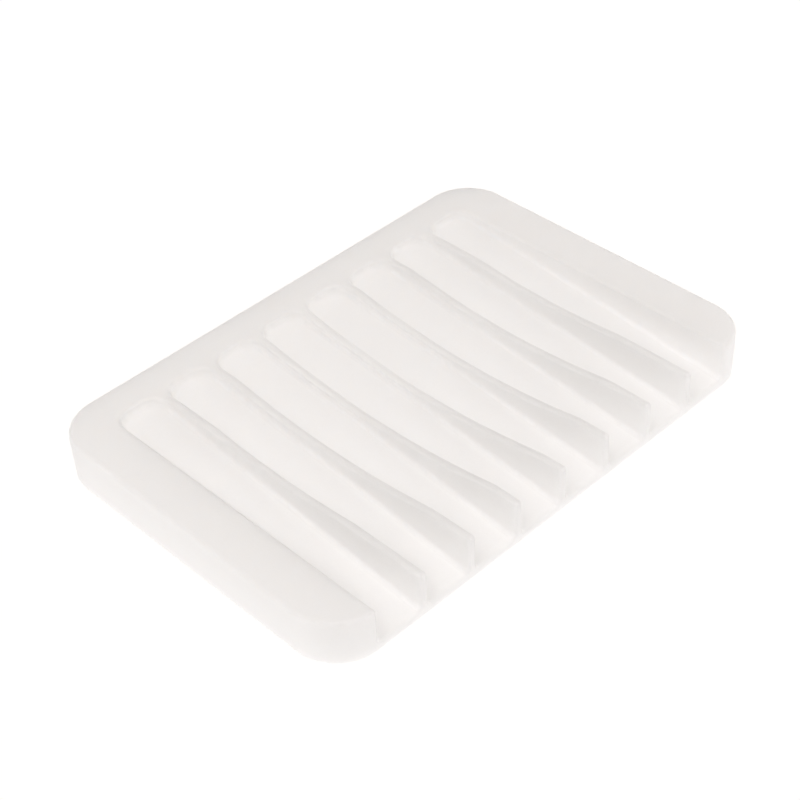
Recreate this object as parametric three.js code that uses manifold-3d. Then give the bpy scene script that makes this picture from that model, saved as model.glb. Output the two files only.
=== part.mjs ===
// Draining soap dish, moulded in one piece of soft white silicone.
//
// A low slab with round corners. Eight parallel grooves run from a closed rounded end near
// the back edge to an open mouth in the front edge. Their floors fall towards the front, so
// water runs out. Thin ribs stand between the grooves, and a shallow oval dip is sunk into
// the ribs' tops to hold the bar of soap.
//
// Units are millimetres. X is the long side, Y runs from the draining edge (-Y) to the back
// edge (+Y), Z is up, and the origin is the middle of the underside.

import * as THREE from 'three';
import { mergeVertices } from 'three/addons/utils/BufferGeometryUtils.js';
import Module from 'manifold-3d';

// ---- Driving dimensions ----

// Slab
const LENGTH = 115;
const WIDTH = 80;
const HEIGHT = 10;
const CORNER_RADIUS = 10;
const TOP_EDGE_RADIUS = 0.8;

// Grooves and ribs
const GROOVE_COUNT = 8;
const END_BLOCK_WIDTH = 10.05;
const RIB_THICKNESS = 1.7;
const BACK_BORDER = 7.55;
const GROOVE_CORNER_RADIUS = 3.6;
const GROOVE_DEPTH_BACK = 1.55;
const FLOOR_HEIGHT_FRONT = 1.65;
const FLOOR_FILLET = 0.6;
const LIP_RADIUS = 1.0;

// Dip in the ribs' tops: its depth, and how far its rim stays from each edge of the slab
const DIP_DEPTH = 2.97;
const DIP_SIDE_MARGIN = 12;
const DIP_BACK_MARGIN = 11;
const DIP_FRONT_MARGIN = 5.8;

// ---- Derived sizes ----

const FRONT_Y = -WIDTH / 2;
const BACK_Y = WIDTH / 2;
const GROOVE_WIDTH =
  (LENGTH - 2 * END_BLOCK_WIDTH - (GROOVE_COUNT - 1) * RIB_THICKNESS) / GROOVE_COUNT;
const GROOVE_PITCH = GROOVE_WIDTH + RIB_THICKNESS;
const GROOVE_END_Y = BACK_Y - BACK_BORDER;
const FLOOR_HEIGHT_BACK = HEIGHT - GROOVE_DEPTH_BACK;
const FLOOR_SLOPE = Math.atan2(FLOOR_HEIGHT_BACK - FLOOR_HEIGHT_FRONT, GROOVE_END_Y - FRONT_Y);

// ---- Modelling tolerances ----

const CORNER_SEGMENTS = 14;
const GROOVE_CORNER_SEGMENTS = 8;
const FILLET_SEGMENTS = 3;
const DIP_SEGMENTS = 48;
const DIP_RINGS = 12;
const CUT_CLEARANCE = 5;

const wasm = await Module();
wasm.setup();

/** Turns a closed three.js geometry into a manifold solid. */
function solidFrom(geometry) {
  const bare = geometry.clone();
  bare.deleteAttribute('normal');
  bare.deleteAttribute('uv');
  const merged = mergeVertices(bare, 1e-5);
  const vertProperties = new Float32Array(merged.attributes.position.array);
  const triVerts = new Uint32Array(merged.index.array);
  return new wasm.Manifold(new wasm.Mesh({ numProp: 3, vertProperties, triVerts }));
}

/** Turns a manifold solid back into a three.js geometry. */
function geometryFrom(solid) {
  const mesh = solid.getMesh();
  const geometry = new THREE.BufferGeometry();
  geometry.setAttribute('position', new THREE.BufferAttribute(mesh.vertProperties, 3));
  geometry.setIndex(new THREE.BufferAttribute(mesh.triVerts, 1));
  geometry.computeVertexNormals();
  return geometry;
}

/** Outline of a rectangle centred on the origin, with round corners. */
function roundedRectangle(length, width, radius) {
  const x = length / 2 - radius;
  const y = width / 2 - radius;
  const outline = new THREE.Shape();
  outline.absarc(x, y, radius, 0, Math.PI / 2);
  outline.absarc(-x, y, radius, Math.PI / 2, Math.PI);
  outline.absarc(-x, -y, radius, Math.PI, 1.5 * Math.PI);
  outline.absarc(x, -y, radius, 1.5 * Math.PI, 2 * Math.PI);
  outline.closePath();
  return outline;
}

/** The slab before any groove is cut, with its top edge rounded and its underside flat. */
function makeSlab() {
  const outline = roundedRectangle(LENGTH, WIDTH, CORNER_RADIUS);
  const slab = new THREE.ExtrudeGeometry(outline, {
    depth: HEIGHT,
    curveSegments: CORNER_SEGMENTS,
    bevelThickness: TOP_EDGE_RADIUS,
    bevelSize: TOP_EDGE_RADIUS,
    bevelOffset: -TOP_EDGE_RADIUS,
    bevelSegments: FILLET_SEGMENTS,
  });
  slab.translate(0, 0, -TOP_EDGE_RADIUS);
  const below = new THREE.BoxGeometry(2 * LENGTH, 2 * WIDTH, HEIGHT);
  below.translate(0, 0, -HEIGHT / 2);
  return solidFrom(slab).subtract(solidFrom(below));
}

/** Cutter for one groove: a bar with a rounded back end, whose lower face is the floor. */
function makeGrooveCutter(centreX) {
  const side = GROOVE_WIDTH / 2;
  const radius = Math.min(GROOVE_CORNER_RADIUS, side);
  const run = (GROOVE_END_Y - FRONT_Y + CUT_CLEARANCE) / Math.cos(FLOOR_SLOPE);
  const outline = new THREE.Shape();
  outline.moveTo(-side, -run);
  outline.lineTo(side, -run);
  outline.absarc(side - radius, -radius, radius, 0, Math.PI / 2);
  outline.absarc(radius - side, -radius, radius, Math.PI / 2, Math.PI);
  outline.closePath();
  const bar = new THREE.ExtrudeGeometry(outline, {
    depth: HEIGHT + CUT_CLEARANCE,
    curveSegments: GROOVE_CORNER_SEGMENTS,
    bevelThickness: FLOOR_FILLET,
    bevelSize: FLOOR_FILLET,
    bevelOffset: -FLOOR_FILLET,
    bevelSegments: FILLET_SEGMENTS,
  });
  bar.translate(0, 0, FLOOR_FILLET);
  bar.rotateX(FLOOR_SLOPE);
  bar.translate(centreX, GROOVE_END_Y, FLOOR_HEIGHT_BACK);
  return solidFrom(bar);
}

/** Cutter that rounds the lip where a groove's floor meets the front face. */
function makeLipCutter(centreX) {
  const tangent = LIP_RADIUS * Math.tan((Math.PI / 2 + FLOOR_SLOPE) / 2 - FLOOR_SLOPE);
  const outline = new THREE.Shape();
  outline.moveTo(-CUT_CLEARANCE, LIP_RADIUS);
  outline.lineTo(-CUT_CLEARANCE, -LIP_RADIUS);
  outline.lineTo(0, -LIP_RADIUS);
  outline.absarc(LIP_RADIUS, -LIP_RADIUS, LIP_RADIUS, Math.PI, Math.PI / 2 + FLOOR_SLOPE, true);
  outline.lineTo(tangent, LIP_RADIUS);
  outline.closePath();
  const bar = new THREE.ExtrudeGeometry(outline, {
    depth: GROOVE_WIDTH,
    curveSegments: FILLET_SEGMENTS,
    bevelEnabled: false,
  });
  bar.translate(0, 0, -GROOVE_WIDTH / 2);
  bar.rotateX(Math.PI / 2);
  bar.rotateZ(Math.PI / 2);
  bar.translate(centreX, FRONT_Y, FLOOR_HEIGHT_FRONT);
  return solidFrom(bar);
}

/** Cutter for the dip: an oval paraboloid, deepest near the middle of the dish. */
function makeDipCutter() {
  const halfLength = LENGTH / 2 - DIP_SIDE_MARGIN;
  const halfWidth = (WIDTH - DIP_BACK_MARGIN - DIP_FRONT_MARGIN) / 2;
  const centreY = (DIP_FRONT_MARGIN - DIP_BACK_MARGIN) / 2;
  const rimReach = 1.25;
  const profile = [];
  for (let ring = 0; ring <= DIP_RINGS; ring += 1) {
    const reach = (rimReach * ring) / DIP_RINGS;
    profile.push(new THREE.Vector2(reach, -DIP_DEPTH * (1 - reach * reach)));
  }
  profile.push(new THREE.Vector2(0, CUT_CLEARANCE));
  const bowl = new THREE.LatheGeometry(profile, DIP_SEGMENTS);
  bowl.rotateX(Math.PI / 2);
  bowl.scale(halfLength, halfWidth, 1);
  bowl.translate(0, centreY, HEIGHT);
  return solidFrom(bowl);
}

/** The finished dish. */
function makeSoapDish() {
  let dish = makeSlab().subtract(makeDipCutter());
  for (let index = 0; index < GROOVE_COUNT; index += 1) {
    const centreX = (index - (GROOVE_COUNT - 1) / 2) * GROOVE_PITCH;
    dish = dish.subtract(makeGrooveCutter(centreX));
    dish = dish.subtract(makeLipCutter(centreX));
  }
  return geometryFrom(dish);
}

const silicone = new THREE.MeshStandardMaterial({
  color: 0xf1ece8,
  roughness: 0.55,
  metalness: 0,
});

const soapDish = new THREE.Mesh(makeSoapDish(), silicone);
soapDish.name = 'soap_dish';

const model = new THREE.Group();
model.add(soapDish);

export default model;
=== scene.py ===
"""Draining soap dish in soft white silicone, on a plain white studio floor."""

import math

import bmesh
import bpy
from mathutils import Matrix, Vector
from mathutils.geometry import delaunay_2d_cdt


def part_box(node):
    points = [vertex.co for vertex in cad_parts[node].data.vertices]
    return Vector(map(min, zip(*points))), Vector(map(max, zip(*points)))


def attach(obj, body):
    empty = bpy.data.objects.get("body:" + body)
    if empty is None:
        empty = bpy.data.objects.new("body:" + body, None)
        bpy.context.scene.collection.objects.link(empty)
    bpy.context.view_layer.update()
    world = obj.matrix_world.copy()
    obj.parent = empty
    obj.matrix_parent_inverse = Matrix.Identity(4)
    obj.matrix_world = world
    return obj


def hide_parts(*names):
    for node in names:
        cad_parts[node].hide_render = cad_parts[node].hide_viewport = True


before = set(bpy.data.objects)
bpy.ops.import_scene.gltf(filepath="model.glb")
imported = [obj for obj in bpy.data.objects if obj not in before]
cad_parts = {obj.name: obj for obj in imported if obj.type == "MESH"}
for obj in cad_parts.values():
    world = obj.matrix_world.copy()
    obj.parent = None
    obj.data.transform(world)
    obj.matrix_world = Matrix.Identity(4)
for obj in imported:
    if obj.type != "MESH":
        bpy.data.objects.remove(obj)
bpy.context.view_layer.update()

# ---- Sizes of the dish, in millimetres, in the frame's own axes ----

MM = 0.001
low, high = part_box("soap_dish")
LENGTH, WIDTH, HEIGHT = ((high[i] - low[i]) / MM for i in range(3))
HALF_LENGTH = LENGTH / 2
HALF_WIDTH = WIDTH / 2
CORNER_RADIUS = 10.0
TOP_EDGE_RADIUS = 0.8
BOTTOM_EDGE_RADIUS = 0.4

GROOVE_COUNT = 8
END_BLOCK_WIDTH = 10.05
RIB_THICKNESS = 1.7
BACK_BORDER = 7.55
GROOVE_CORNER_RADIUS = 3.6
GROOVE_DEPTH_BACK = 1.55
FLOOR_HEIGHT_FRONT = 1.65
FLOOR_FILLET = 0.9
LIP_RADIUS = 1.0
GROOVE_EDGE_RADIUS = 0.6
FLAT_ROW = 0.04

DIP_DEPTH = 2.97
DIP_SIDE_MARGIN = 12.0
DIP_BACK_MARGIN = 11.0
DIP_FRONT_MARGIN = 5.8
DIP_RIM_SOFTNESS = 0.03
DIP_HALF_LENGTH = HALF_LENGTH - DIP_SIDE_MARGIN
DIP_HALF_WIDTH = (WIDTH - DIP_BACK_MARGIN - DIP_FRONT_MARGIN) / 2
DIP_CENTRE_Y = (DIP_FRONT_MARGIN - DIP_BACK_MARGIN) / 2

RIBS_WIDTH = (GROOVE_COUNT - 1) * RIB_THICKNESS
GROOVE_WIDTH = (LENGTH - 2 * END_BLOCK_WIDTH - RIBS_WIDTH) / GROOVE_COUNT
GROOVE_PITCH = GROOVE_WIDTH + RIB_THICKNESS
GROOVE_END_Y = HALF_WIDTH - BACK_BORDER
FLOOR_FALL = (HEIGHT - GROOVE_DEPTH_BACK - FLOOR_HEIGHT_FRONT) / (GROOVE_END_Y + HALF_WIDTH)

# ---- How finely the surface is divided ----

EDGE_STEPS = 7
WALL_STEPS = 5
FILLET_STEPS = 6
ROLL_STEPS = 7
BOTTOM_STEPS = 4
SIDE_STEPS = 6
FLOOR_COLUMNS = 8
GROOVE_STATIONS = 52
ARC_STEPS = 12
CORNER_STEPS = 22
FRONT_STATIONS = 40
RING_STEP = 3.0
GROOVE_START = 1.3 * LIP_RADIUS
WELD = 0.0005

UP = Vector((0, 0, 1))
FRONT = Vector((0, -1, 0))
EAST = Vector((1, 0, 0))
NORTH = Vector((0, 1, 0))
WEST = Vector((-1, 0, 0))


def smooth_step(low_end, high_end, value):
    """0 below low_end, 1 above high_end, and a smooth rise between them."""
    share = min(max((value - low_end) / (high_end - low_end), 0), 1)
    return share * share * (3 - 2 * share)


def fractions(steps):
    """steps + 1 evenly spaced numbers from 0 to 1."""
    return [i / steps for i in range(steps + 1)]


def land_height(x, y):
    """Height of the top surface, with the oval dip sunk into it."""
    inside = 1 - (x / DIP_HALF_LENGTH) ** 2 - ((y - DIP_CENTRE_Y) / DIP_HALF_WIDTH) ** 2
    return HEIGHT - DIP_DEPTH * (inside + math.hypot(inside, DIP_RIM_SOFTNESS)) / 2


def floor_height(y):
    """Height of the grooves' floors, which fall towards the front."""
    return FLOOR_HEIGHT_FRONT + FLOOR_FALL * (y + HALF_WIDTH)


def groove_centre(index):
    """Position along X of the middle of a groove."""
    return (index - (GROOVE_COUNT - 1) / 2) * GROOVE_PITCH


def outer_front(x):
    """Point and outward direction of the dish's front face, in plan, at x."""
    past = abs(x) - (HALF_LENGTH - CORNER_RADIUS)
    if past <= 0:
        return Vector((x, -HALF_WIDTH, 0)), FRONT.copy()
    centre = Vector((math.copysign(HALF_LENGTH - CORNER_RADIUS, x), CORNER_RADIUS - HALF_WIDTH, 0))
    out = Vector((math.copysign(past, x), -math.sqrt(CORNER_RADIUS ** 2 - past ** 2), 0))
    return centre + out, out.normalized()


class RolledEdge:
    """One station of the edge that rolls from the upper surface over to the outer wall."""

    def __init__(self, face_point, out, up, radius, height):
        self.centre = Vector((face_point.x, face_point.y, height - up.z * radius)) - out * radius
        self.up = up
        self.out = out
        self.radius = radius

    def at(self, share):
        """Point on the rolled edge, from 0 on the upper surface to 1 on the outer wall."""
        turn = share * math.pi / 2
        direction = self.up * math.cos(turn) + self.out * math.sin(turn)
        return self.centre + direction * self.radius


def land_roll(distance):
    """Radius of the rolled edge on the land, at a distance from the nearest groove."""
    full = smooth_step(GROOVE_EDGE_RADIUS, RIB_THICKNESS / 2, distance)
    return GROOVE_EDGE_RADIUS + (TOP_EDGE_RADIUS - GROOVE_EDGE_RADIUS) * full


def floor_roll(inset):
    """Radius of the rolled edge on a groove's floor, at a distance in from its wall."""
    full = smooth_step(0, 2 * LIP_RADIUS, inset)
    return GROOVE_EDGE_RADIUS + (LIP_RADIUS - GROOVE_EDGE_RADIUS) * full


# ---- The section across one wall of a groove, from the land down to the floor ----

def wall_section():
    """Rows of (offset, rise, anchor, tilt). The offset is outwards from the wall in plan."""
    rows = [(GROOVE_EDGE_RADIUS + FLAT_ROW, 0, "land", 0)]
    for share in fractions(EDGE_STEPS):
        turn = share * math.pi / 2
        offset = GROOVE_EDGE_RADIUS * (1 - math.sin(turn))
        rows.append((offset, -GROOVE_EDGE_RADIUS * (1 - math.cos(turn)), "land", turn))
    for share in fractions(WALL_STEPS)[1:-1]:
        rows.append((0, share, "wall", math.pi / 2))
    for share in fractions(FILLET_STEPS):
        turn = share * math.pi / 2
        offset = -FLOOR_FILLET * (1 - math.cos(turn))
        rows.append((offset, FLOOR_FILLET * (1 - math.sin(turn)), "floor", math.pi / 2 - turn))
    rows.append((-FLOOR_FILLET - FLAT_ROW, 0, "floor", 0))
    return rows


SECTION = wall_section()


def section_height(wall_point, out, point, row):
    """Height of one row of the section. Its curves flatten where the groove is shallow."""
    offset, rise, anchor, _ = row
    rim = wall_point + out * max(offset, GROOVE_EDGE_RADIUS)
    top = land_height(rim.x, rim.y)
    bottom = floor_height(point.y)
    squeeze = min(1, (top - bottom) / (GROOVE_EDGE_RADIUS + FLOOR_FILLET + FLAT_ROW))
    if anchor == "land":
        return top + rise * squeeze
    if anchor == "floor":
        return bottom + rise * squeeze
    upper = top - GROOVE_EDGE_RADIUS * squeeze
    lower = bottom + FLOOR_FILLET * squeeze
    return upper + (lower - upper) * rise


def section_points(wall_point, out):
    """The section's points at one station of a groove's outline."""
    points = []
    for row in SECTION:
        point = wall_point + out * row[0]
        points.append(Vector((point.x, point.y, section_height(wall_point, out, point, row))))
    return points


def front_section(wall_x, side):
    """The section's rolled edges at the front. side is +1 where the land lies towards +X."""
    edges = []
    out = Vector((side, 0, 0))
    for row in SECTION:
        offset, _, _, tilt = row
        radius = land_roll(offset) if offset > 0 else floor_roll(-offset)
        face_point, face_out = outer_front(wall_x + side * (offset + radius * math.sin(tilt)))
        start = face_point - face_out * radius
        height = section_height(Vector((wall_x, start.y, 0)), out, start, row)
        up = UP * math.cos(tilt) - out * math.sin(tilt)
        edges.append(RolledEdge(face_point, face_out, up, radius, height))
    return edges


def front_floor(centre_x):
    """Rolled edges across a groove's floor, between its two sections, from -X to +X."""
    reach = GROOVE_WIDTH / 2 - FLOOR_FILLET - FLAT_ROW
    edges = []
    for share in fractions(FLOOR_COLUMNS)[1:-1]:
        x = reach * (2 * share - 1)
        radius = floor_roll(GROOVE_WIDTH / 2 - abs(x))
        face_point, face_out = outer_front(centre_x + x)
        height = floor_height(face_point.y + radius)
        edges.append(RolledEdge(face_point, face_out, UP.copy(), radius, height))
    return edges


def front_rib(centre_x):
    """The rolled edge at the middle of a rib's top."""
    face_point, face_out = outer_front(centre_x)
    height = land_height(centre_x, face_point.y + TOP_EDGE_RADIUS)
    return [RolledEdge(face_point, face_out, UP.copy(), TOP_EDGE_RADIUS, height)]


def ring_edges():
    """Rolled edges round the slab, from the last groove at the front to the first one."""
    wall_x = HALF_LENGTH - END_BLOCK_WIDTH
    arc_x = HALF_LENGTH - CORNER_RADIUS
    arc_y = HALF_WIDTH - CORNER_RADIUS
    first = wall_x + GROOVE_EDGE_RADIUS + FLAT_ROW
    stations = []

    def corner(centre, start, stop):
        for share in fractions(CORNER_STEPS):
            angle = start + (stop - start) * share
            out = Vector((math.cos(angle), math.sin(angle), 0))
            stations.append((centre + out * CORNER_RADIUS, out))

    def straight(begin, end, out):
        count = round((end - begin).length / RING_STEP)
        for share in fractions(count)[1:-1]:
            stations.append((begin.lerp(end, share), out))

    front_start = -math.pi / 2 + math.asin((first - arc_x) / CORNER_RADIUS)
    front_right = Vector((arc_x, -arc_y, 0))
    back_right = Vector((arc_x, arc_y, 0))
    back_left = Vector((-arc_x, arc_y, 0))
    front_left = Vector((-arc_x, -arc_y, 0))
    corner(front_right, front_start, 0)
    straight(front_right + EAST * CORNER_RADIUS, back_right + EAST * CORNER_RADIUS, EAST)
    corner(back_right, 0, math.pi / 2)
    straight(back_right + NORTH * CORNER_RADIUS, back_left + NORTH * CORNER_RADIUS, NORTH)
    corner(back_left, math.pi / 2, math.pi)
    straight(back_left + WEST * CORNER_RADIUS, front_left + WEST * CORNER_RADIUS, WEST)
    corner(front_left, math.pi, math.pi - front_start)

    edges = []
    for point, out in stations:
        radius = TOP_EDGE_RADIUS
        if point.y < 0:
            radius = land_roll(abs(point.x) - wall_x)
        start = point - out * radius
        edges.append(RolledEdge(point, out, UP.copy(), radius, land_height(start.x, start.y)))
    return edges


def painted_shade_lift_at(point):
    """How far up a point lies, from 0 on a groove's floor or the underside to 1 on the land. It masks
    the silicone's painted light and shade.
    """
    from_centre = (point.x / GROOVE_PITCH + GROOVE_COUNT / 2) % 1 - 0.5
    across = abs(from_centre) * GROOVE_PITCH < GROOVE_WIDTH / 2 + GROOVE_EDGE_RADIUS
    along = point.y < GROOVE_END_Y + GROOVE_EDGE_RADIUS
    between = abs(point.x) < HALF_LENGTH - END_BLOCK_WIDTH + GROOVE_EDGE_RADIUS
    in_grooves = across and along and between
    on_floor = in_grooves and point.y > LIP_RADIUS - HALF_WIDTH
    base = floor_height(point.y) if on_floor else 0
    top = land_height(point.x, point.y)
    return smooth_step(0, 1, (point.z - base) / (top - base))


# ---- Building the mesh from patches ----

class Patchwork:
    """Collects patches of points and faces, to be welded into one skin."""

    def __init__(self):
        self.points = []
        self.faces = []

    def add_grid(self, rows, closed=False):
        """Quads between rows of equal length. A closed grid joins the last row to the first."""
        start = len(self.points)
        width = len(rows[0])
        for row in rows:
            self.points.extend(row)
        count = len(rows)
        for i in range(count if closed else count - 1):
            this_row = start + i * width
            next_row = start + ((i + 1) % count) * width
            for j in range(width - 1):
                self.faces.append((this_row + j, this_row + j + 1, next_row + j + 1, next_row + j))

    def add_outline(self, outline, flat):
        """Triangles that fill a closed outline. flat gives a point's two coordinates."""
        start = len(self.points)
        self.points.extend(outline)
        plan = [Vector(flat(point)) for point in outline]
        result = delaunay_2d_cdt(plan, [], [list(range(len(plan)))], 1, 1e-6)
        sources = result[3]
        for face in result[2]:
            self.faces.append(tuple(start + sources[corner][0] for corner in face))

    def add_polygon(self, outline):
        """One flat face with the given outline."""
        start = len(self.points)
        self.points.extend(outline)
        self.faces.append(tuple(range(start, start + len(outline))))


def groove_outline(centre_x):
    """Stations round a groove behind its front row: the right wall, the end, the left wall."""
    half = GROOVE_WIDTH / 2
    arc_x = half - GROOVE_CORNER_RADIUS
    arc_y = GROOVE_END_Y - GROOVE_CORNER_RADIUS
    first_y = -HALF_WIDTH + GROOVE_START
    right = []
    for share in fractions(GROOVE_STATIONS)[:-1]:
        right.append((Vector((half, first_y + (arc_y - first_y) * share, 0)), Vector((1, 0, 0))))
    for share in fractions(ARC_STEPS):
        angle = share * math.pi / 2
        out = Vector((math.cos(angle), math.sin(angle), 0))
        right.append((Vector((arc_x, arc_y, 0)) + out * GROOVE_CORNER_RADIUS, out))
    end = []
    for share in fractions(FLOOR_COLUMNS)[1:-1]:
        end.append((Vector((arc_x * (1 - 2 * share), GROOVE_END_Y, 0)), Vector((0, 1, 0))))
    left = [(Vector((-p.x, p.y, 0)), Vector((-out.x, out.y, 0))) for p, out in reversed(right)]
    shift = Vector((centre_x, 0, 0))
    return [(p + shift, out) for p, out in right + end + left], len(right)


def add_groove(skin, centre_x):
    """Adds one groove. Returns its land outline and its rolled edges, both from -X to +X."""
    half = GROOVE_WIDTH / 2
    left_edges = front_section(centre_x - half, -1)
    right_edges = front_section(centre_x + half, 1)
    floor_edges = front_floor(centre_x)
    stations, side_count = groove_outline(centre_x)
    walls = [section_points(point, out) for point, out in stations]
    walls.insert(0, [edge.at(0) for edge in right_edges])
    walls.append([edge.at(0) for edge in left_edges])
    skin.add_grid(walls)

    rows = [[left_edges[-1].at(0)] + [edge.at(0) for edge in floor_edges] + [right_edges[-1].at(0)]]
    for i in range(1, side_count + 1):
        right_point = walls[i][-1]
        left_point = walls[-1 - i][-1]
        row = [left_point.lerp(right_point, share) for share in fractions(FLOOR_COLUMNS)]
        rows.append(row)
    skin.add_grid(rows)
    land = [wall[0] for wall in reversed(walls)]
    edges = left_edges + floor_edges + list(reversed(right_edges))
    return land, edges


def build_dish():
    """The dish's whole skin, in millimetres."""
    skin = Patchwork()
    land = []
    comb = []
    for index in range(GROOVE_COUNT):
        if index > 0:
            rib = front_rib(groove_centre(index) - GROOVE_PITCH / 2)
            land.append(rib[0].at(0))
            comb.extend(rib)
        outline, edges = add_groove(skin, groove_centre(index))
        land.extend(outline)
        comb.extend(edges)
    ring = ring_edges()
    land.extend(edge.at(0) for edge in ring[1:-1])
    skin.add_outline(land, lambda p: (p.x, p.y))

    rolled = comb + ring[1:-1]
    skin.add_grid([[edge.at(share) for share in fractions(ROLL_STEPS)] for edge in rolled], closed=True)

    def wall_column(edge):
        top = edge.at(1)
        return [Vector((top.x, top.y, top.z + (BOTTOM_EDGE_RADIUS - top.z) * share))
                for share in fractions(SIDE_STEPS)]

    columns = [wall_column(edge) for edge in ring]
    skin.add_grid(columns)

    bottom = [(column[-1], edge.out) for column, edge in zip(columns, ring)]
    for share in fractions(FRONT_STATIONS)[1:-1]:
        x = columns[-1][-1].x * (1 - 2 * share)
        point, out = outer_front(x)
        bottom.append((Vector((point.x, point.y, BOTTOM_EDGE_RADIUS)), out))
    foot = []
    for point, out in bottom:
        turns = [share * math.pi / 2 for share in fractions(BOTTOM_STEPS)]
        inset = [BOTTOM_EDGE_RADIUS * (1 - math.cos(turn)) for turn in turns]
        rise = [BOTTOM_EDGE_RADIUS * (1 - math.sin(turn)) for turn in turns]
        foot.append([Vector((point.x, point.y, z)) - out * d for d, z in zip(inset, rise)])
    skin.add_grid(foot, closed=True)
    skin.add_polygon([column[-1] for column in foot])

    front = [edge.at(1) for edge in comb]
    front += columns[0][1:]
    front += [point for point, out in reversed(bottom[len(ring):])]
    front += list(reversed(columns[-1][1:]))
    kept = [front[0]]
    for point in front[1:]:
        if (point - kept[-1]).length > WELD:
            kept.append(point)
    skin.add_outline(kept, lambda p: (p.x, p.z))
    return skin


def make_dish():
    """The dish as a Blender object, in metres."""
    skin = build_dish()
    mesh = bpy.data.meshes.new("soap_dish_skin")
    mesh.from_pydata([tuple(point) for point in skin.points], [], skin.faces)
    work = bmesh.new()
    work.from_mesh(mesh)
    bmesh.ops.remove_doubles(work, verts=work.verts, dist=WELD)
    bmesh.ops.recalc_face_normals(work, faces=work.faces)
    # Stores the height mask for the silicone's painted light and shade.
    painted_shade_lift = work.verts.layers.float.new("painted_shade_lift")
    for vertex in work.verts:
        vertex[painted_shade_lift] = painted_shade_lift_at(vertex.co)
    bmesh.ops.scale(work, vec=(MM, MM, MM), verts=work.verts)
    work.to_mesh(mesh)
    work.free()
    for face in mesh.polygons:
        face.use_smooth = True
    dish = bpy.data.objects.new("silicone_dish", mesh)
    bpy.context.scene.collection.objects.link(dish)
    weighted = dish.modifiers.new("weighted_normals", "WEIGHTED_NORMAL")
    weighted.keep_sharp = False
    weighted.weight = 50
    return dish


# ---- Materials ----

# Painted light and shade: the groove colour is painted lighter and the top colour greyer, blended by
# height.
GROOVE_PAINTED_LIGHT_COLOUR = (0.955, 0.95, 0.945)
TOP_PAINTED_SHADE_COLOUR = (0.935, 0.93, 0.925)
LIGHT_COLOUR = (1.0, 0.962, 0.936)
FLOOR_COLOUR = (1.0, 0.972, 0.957)
FLOOR_GLOW = 1.05
FAINT_SHADE = (0.985, 0.985, 0.985)
WHITE = (1, 1, 1)
LIGHT_SPREAD = 0.008
CLOUDING_SCALE = 70
GRAIN_SCALE = 2600
SHEEN_SCALE = 400
BUMP_SCALE = 2200
BUMP_HEIGHT = 0.00003
BUMP_STRENGTH = 0.25
LOWEST_ROUGHNESS = 0.5
HIGHEST_ROUGHNESS = 0.66


def new_material(name):
    """A material whose nodes are only an output, with what is needed to add the rest."""
    material = bpy.data.materials.new(name)
    material.use_nodes = True
    nodes = material.node_tree.nodes
    nodes.clear()
    output = nodes.new("ShaderNodeOutputMaterial")
    return material, nodes, material.node_tree.links, output


def silicone_material():
    """Soft matte white silicone that lets a good deal of light through its thin parts. Its colour
    carries painted shade on the land and painted light in the grooves.
    """
    material, nodes, links, output = new_material("white_silicone")
    shader = nodes.new("ShaderNodeBsdfPrincipled")
    shader.inputs["Subsurface Weight"].default_value = 1.0
    shader.inputs["Subsurface Radius"].default_value = (1.0, 0.97, 0.94)
    shader.inputs["Subsurface Scale"].default_value = LIGHT_SPREAD
    shader.inputs["IOR"].default_value = 1.41
    shader.inputs["Specular IOR Level"].default_value = 0.35
    links.new(shader.outputs["BSDF"], output.inputs["Surface"])

    place = nodes.new("ShaderNodeTexCoord")

    def noise(scale, detail):
        texture = nodes.new("ShaderNodeTexNoise")
        texture.inputs["Scale"].default_value = scale
        texture.inputs["Detail"].default_value = detail
        texture.inputs["Roughness"].default_value = 0.6
        links.new(place.outputs["Object"], texture.inputs["Vector"])
        return texture.outputs["Fac"]

    def colour_ramp(value, stops):
        ramp = nodes.new("ShaderNodeValToRGB")
        ramp.color_ramp.elements[0].position = stops[0][0]
        ramp.color_ramp.elements[0].color = (*stops[0][1], 1)
        ramp.color_ramp.elements[1].position = stops[1][0]
        ramp.color_ramp.elements[1].color = (*stops[1][1], 1)
        links.new(value, ramp.inputs["Fac"])
        return ramp.outputs["Color"]

    def multiply(first, second):
        mix = nodes.new("ShaderNodeMix")
        mix.data_type = "RGBA"
        mix.blend_type = "MULTIPLY"
        mix.inputs["Factor"].default_value = 1.0
        links.new(first, mix.inputs["A"])
        links.new(second, mix.inputs["B"])
        return mix.outputs["Result"]

    # Painted shade and light: the land is painted a shade greyer than the grooves' floors and the foot,
    # which are painted lighter. Walls grade between.
    painted_shade_lift = nodes.new("ShaderNodeAttribute")
    painted_shade_lift.attribute_name = "painted_shade_lift"
    painted_shade_tone = colour_ramp(painted_shade_lift.outputs["Fac"], [(0, GROOVE_PAINTED_LIGHT_COLOUR), (1, TOP_PAINTED_SHADE_COLOUR)])
    clouding = colour_ramp(noise(CLOUDING_SCALE, 3), [(0.3, FAINT_SHADE), (0.7, WHITE)])
    grain = colour_ramp(noise(GRAIN_SCALE, 2), [(0.3, FAINT_SHADE), (0.7, WHITE)])
    links.new(multiply(multiply(painted_shade_tone, clouding), grain), shader.inputs["Base Color"])

    sheen = nodes.new("ShaderNodeMapRange")
    sheen.inputs["To Min"].default_value = LOWEST_ROUGHNESS
    sheen.inputs["To Max"].default_value = HIGHEST_ROUGHNESS
    links.new(noise(SHEEN_SCALE, 4), sheen.inputs["Value"])
    links.new(sheen.outputs["Result"], shader.inputs["Roughness"])

    bump = nodes.new("ShaderNodeBump")
    bump.inputs["Strength"].default_value = BUMP_STRENGTH
    bump.inputs["Distance"].default_value = BUMP_HEIGHT
    links.new(noise(BUMP_SCALE, 3), bump.inputs["Height"])
    links.new(bump.outputs["Normal"], shader.inputs["Normal"])
    return material


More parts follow.
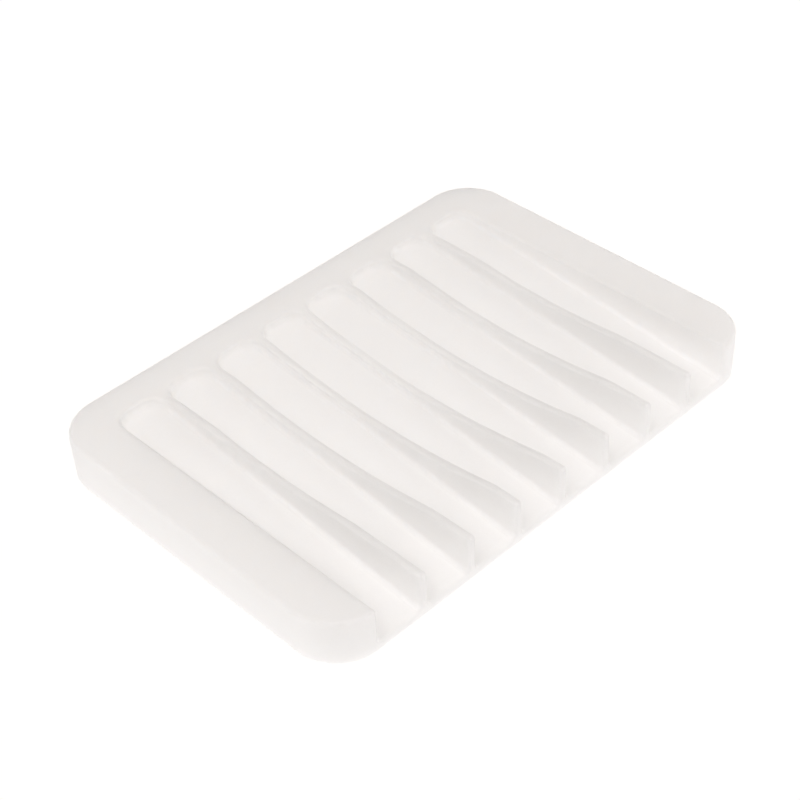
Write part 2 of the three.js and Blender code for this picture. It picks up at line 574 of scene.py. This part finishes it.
def floor_material():
    """Plain white studio floor, bright enough to read as pure white."""
    material, nodes, links, output = new_material("studio_white")
    glow = nodes.new("ShaderNodeEmission")
    glow.inputs["Color"].default_value = (*FLOOR_COLOUR, 1)
    glow.inputs["Strength"].default_value = FLOOR_GLOW
    links.new(glow.outputs["Emission"], output.inputs["Surface"])
    return material


# ---- Stage, light and camera ----

FLOOR_SIZE = 6.0
FLOOR_GAP = 0.0002
SOFTBOX_SIZE = 0.6
SOFTBOX_DISTANCE = 1.1
BACKDROP_STRENGTH = 0.5
SKY_STRENGTH = 0.19
BACKDROP_TOP = math.radians(5)
SKY_START = math.radians(12)

CAMERA_AZIMUTH = -42.28
CAMERA_ELEVATION = 40.39
CAMERA_ROLL = math.radians(-3.49)
CAMERA_DISTANCE = 343.2 * MM
CAMERA_TARGET = Vector((-2.65, 0.17, 5.0)) * MM
CAMERA_LENS = 79.0
SENSOR_WIDTH = 36.0


def make_floor():
    """A wide white floor just under the dish."""
    bpy.ops.mesh.primitive_plane_add(size=FLOOR_SIZE, location=(0, 0, -FLOOR_GAP))
    floor = bpy.context.object
    floor.name = "studio_floor"
    floor.data.materials.append(floor_material())


def direction(azimuth, elevation):
    """Unit vector from the dish. Azimuth 0 is the front, and positive turns towards +X."""
    turn, rise = math.radians(azimuth), math.radians(elevation)
    return Vector((math.sin(turn) * math.cos(rise), -math.cos(turn) * math.cos(rise), math.sin(rise)))


def add_softbox(name, azimuth, elevation, watts):
    """A round soft box that faces the dish."""
    towards = direction(azimuth, elevation)
    light = bpy.data.lights.new(name, "AREA")
    light.shape = "DISK"
    light.size = SOFTBOX_SIZE
    light.energy = watts
    light.color = LIGHT_COLOUR
    softbox = bpy.data.objects.new(name, light)
    softbox.location = towards * SOFTBOX_DISTANCE
    softbox.rotation_mode = "QUATERNION"
    softbox.rotation_quaternion = towards.to_track_quat("Z", "Y")
    bpy.context.scene.collection.objects.link(softbox)


def make_lights():
    """A pale band round the horizon, a dimmer sky over it, and soft boxes on several sides."""
    world = bpy.data.worlds.new("studio")
    world.use_nodes = True
    nodes = world.node_tree.nodes
    links = world.node_tree.links
    background = nodes["Background"]
    background.inputs["Color"].default_value = (*LIGHT_COLOUR, 1)
    place = nodes.new("ShaderNodeTexCoord")
    split = nodes.new("ShaderNodeSeparateXYZ")
    fade = nodes.new("ShaderNodeMapRange")
    fade.inputs["From Min"].default_value = math.sin(BACKDROP_TOP)
    fade.inputs["From Max"].default_value = math.sin(SKY_START)
    fade.inputs["To Min"].default_value = BACKDROP_STRENGTH
    fade.inputs["To Max"].default_value = SKY_STRENGTH
    links.new(place.outputs["Generated"], split.inputs["Vector"])
    links.new(split.outputs["Z"], fade.inputs["Value"])
    links.new(fade.outputs["Result"], background.inputs["Strength"])
    bpy.context.scene.world = world

    add_softbox("key_softbox", -45, 55, 2.4)
    add_softbox("left_softbox", -90, 55, 2.8)
    add_softbox("back_softbox", -135, 55, 2.0)
    add_softbox("right_softbox", 90, 55, 1.2)
    add_softbox("front_softbox", 45, 25, 3.1)
    bpy.context.scene.view_settings.view_transform = "Standard"


def make_camera():
    """The camera, set by where it looks from and how far away it stands."""
    back = direction(CAMERA_AZIMUTH, CAMERA_ELEVATION)
    data = bpy.data.cameras.new("studio_camera")
    data.sensor_width = SENSOR_WIDTH
    data.lens = CAMERA_LENS
    data.clip_start = 0.01
    data.clip_end = 50
    camera = bpy.data.objects.new("studio_camera", data)
    bpy.context.scene.collection.objects.link(camera)
    turn = back.to_track_quat("Z", "Y") @ Matrix.Rotation(CAMERA_ROLL, 4, "Z").to_quaternion()
    camera.rotation_mode = "QUATERNION"
    camera.rotation_quaternion = turn
    camera.location = CAMERA_TARGET + back * CAMERA_DISTANCE
    bpy.context.scene.camera = camera


make_camera()
make_floor()
make_lights()
dish = make_dish()
dish.data.materials.append(silicone_material())
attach(dish, "root")
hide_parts("soap_dish")
